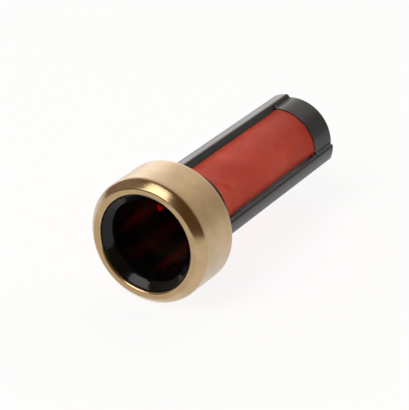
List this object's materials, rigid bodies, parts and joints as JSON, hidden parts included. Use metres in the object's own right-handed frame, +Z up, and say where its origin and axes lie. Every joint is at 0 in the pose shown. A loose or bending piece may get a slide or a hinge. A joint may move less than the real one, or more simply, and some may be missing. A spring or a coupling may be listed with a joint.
{
  "type": "basket filter",
  "caption": "Push-in basket filter for a small liquid inlet: brass press-fit collar, ribbed plastic cage and red woven mesh sleeve.",
  "frame": {"origin": "on the plane the filter lies on, below the middle of its length", "axes": "+Y along the filter's axis from the open mouth to the closed end, +Z up from the plane it lies on"},
  "size_m": [0.006, 0.014, 0.006],
  "materials": {
    "brass": "satin outside, polished front edge",
    "black_plastic": "moulded, semi-gloss",
    "red_mesh": "fine woven monofilament cloth, matte"
  },
  "bodies": {
    "root": {"brass_collar": "brass", "filter_cage": "black_plastic", "mesh_sleeve": "red_mesh"}
  },
  "joints": []
}
